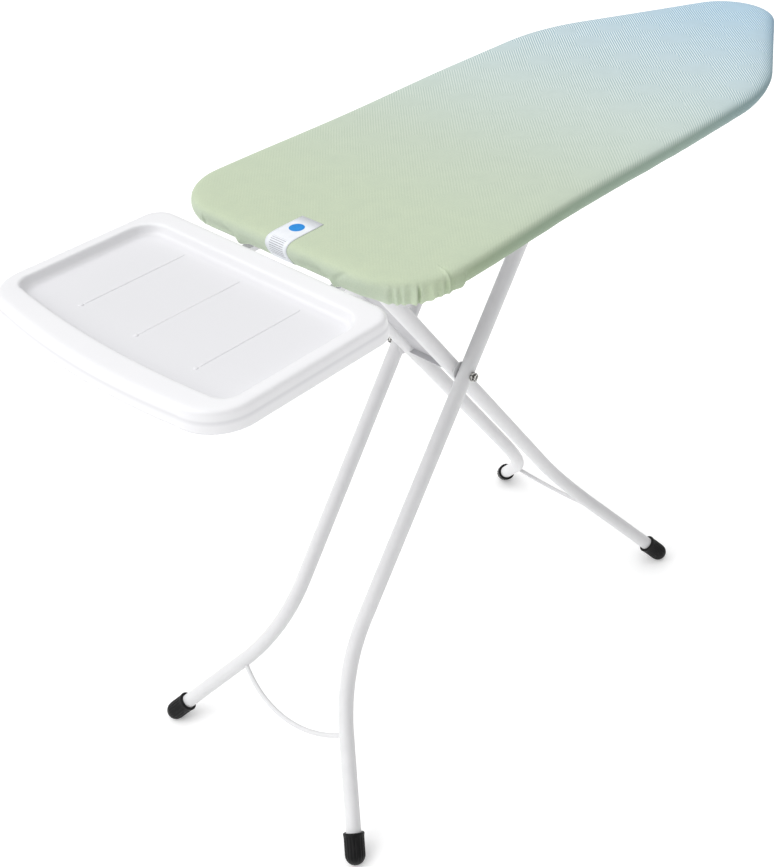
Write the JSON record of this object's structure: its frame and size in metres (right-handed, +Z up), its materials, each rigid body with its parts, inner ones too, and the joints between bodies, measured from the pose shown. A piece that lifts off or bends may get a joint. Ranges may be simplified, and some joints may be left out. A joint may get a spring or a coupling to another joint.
{
  "type": "ironing board",
  "caption": "Free-standing folding ironing board with a padded ombre fabric top, crossed white tube legs and a plastic tray for a steam station.",
  "frame": {"origin": "on the floor, below the middle of the board and its tray", "axes": "+X from the tray to the nose, +Y from the near side to the far side, +Z up"},
  "size_m": [1.536, 0.4844, 0.9772],
  "materials": {
    "cover": "woven cotton, green fading to pale blue",
    "foam_pad": "open foam and felt",
    "size_label": "satin label tape with a blue dot",
    "top_sheet": "powder coated pressed sheet",
    "rim": "powder coated",
    "cross_members": "powder coated",
    "bracket_steel": "zinc grey, satin",
    "bar_steel": "zinc plated",
    "push_cap": "spring steel",
    "pin_steel": "zinc plated",
    "lever_spring": "music wire",
    "tray_shell": "moulded, satin white",
    "tray_arms": "silver grey, satin",
    "tray_screws": "zinc plated",
    "arm_bolts": "zinc plated",
    "leg_tube": "white powder coat",
    "brace_rod": "white powder coat",
    "inner_web": "white powder coat",
    "plug_plastic": "moulded",
    "foot_rubber": "fluted, soft black",
    "crossing_bolts": "zinc plated",
    "crossing_nuts": "bright plated",
    "crossing_washers": "white powder coat",
    "slide_rollers": "nylon",
    "release_lever": "zinc grey, satin",
    "catch_plate": "zinc plated",
    "lever_grip": "soft grip",
    "transport_hook": "moulded"
  },
  "bodies": {
    "board": {"cover": "cover", "foam_pad": "foam_pad", "size_label": "size_label", "top_sheet": "top_sheet", "rim": "rim", "cross_member_1": "cross_members", "cross_member_2": "cross_members", "cross_member_3": "cross_members", "cross_member_4": "cross_members", "adjuster_rails": "bracket_steel", "pivot_bracket": "bracket_steel", "fixed_crossbar": "bar_steel", "crossbar_caps": "push_cap", "lever_pin": "pin_steel", "lever_spring": "lever_spring", "hook_bracket": "bracket_steel", "hook_pin": "pin_steel", "tray_shell": "tray_shell", "tray_arm_near": "tray_arms", "tray_arm_far": "tray_arms", "tray_screws": "tray_screws", "arm_bolts": "arm_bolts"},
    "inner_legs": {"inner_leg_near": "leg_tube", "inner_leg_far": "leg_tube", "inner_brace": "brace_rod", "inner_web": "inner_web", "inner_plugs": "plug_plastic", "inner_foot_near": "foot_rubber", "inner_foot_far": "foot_rubber", "crossing_bolts": "crossing_bolts", "crossing_nuts": "crossing_nuts", "crossing_washers": "crossing_washers"},
    "outer_legs": {"outer_leg_near": "leg_tube", "outer_leg_far": "leg_tube", "outer_brace": "brace_rod", "outer_plugs": "plug_plastic", "outer_foot_near": "foot_rubber", "outer_foot_far": "foot_rubber", "sliding_crossbar": "bar_steel", "slide_rollers": "slide_rollers", "sliding_bar_caps": "push_cap"},
    "lever": {"release_lever": "release_lever", "catch_plate": "catch_plate", "lever_grip": "lever_grip"},
    "hook": {"transport_hook": "transport_hook"}
  },
  "joints": [
    {"name": "leg_fold", "type": "hinge", "parent": "board", "child": "inner_legs", "pos_m": [-0.3565, 0, 0.93025], "axis": [0, -1, 0], "range_deg": [0, 51.22]},
    {"name": "leg_cross", "type": "hinge", "parent": "inner_legs", "child": "outer_legs", "pos_m": [-0.14377, 0, 0.64045], "axis": [0, 1, 0], "range_deg": [0, 102.54]},
    {"name": "lever_squeeze", "type": "hinge", "parent": "board", "child": "lever", "pos_m": [0.23395, 0, 0.94525], "axis": [0, 1, 0], "range_deg": [0, 5], "stiffness_Nm_per_rad": 8, "springref_deg": -2.86},
    {"name": "hook_swing", "type": "hinge", "parent": "board", "child": "hook", "pos_m": [0.658, 0, 0.94715], "axis": [0, -1, 0], "range_deg": [0, 109]}
  ],
  "couplings": [
    {"joint": "leg_cross", "follows": "leg_fold", "ratio": 2}
  ]
}
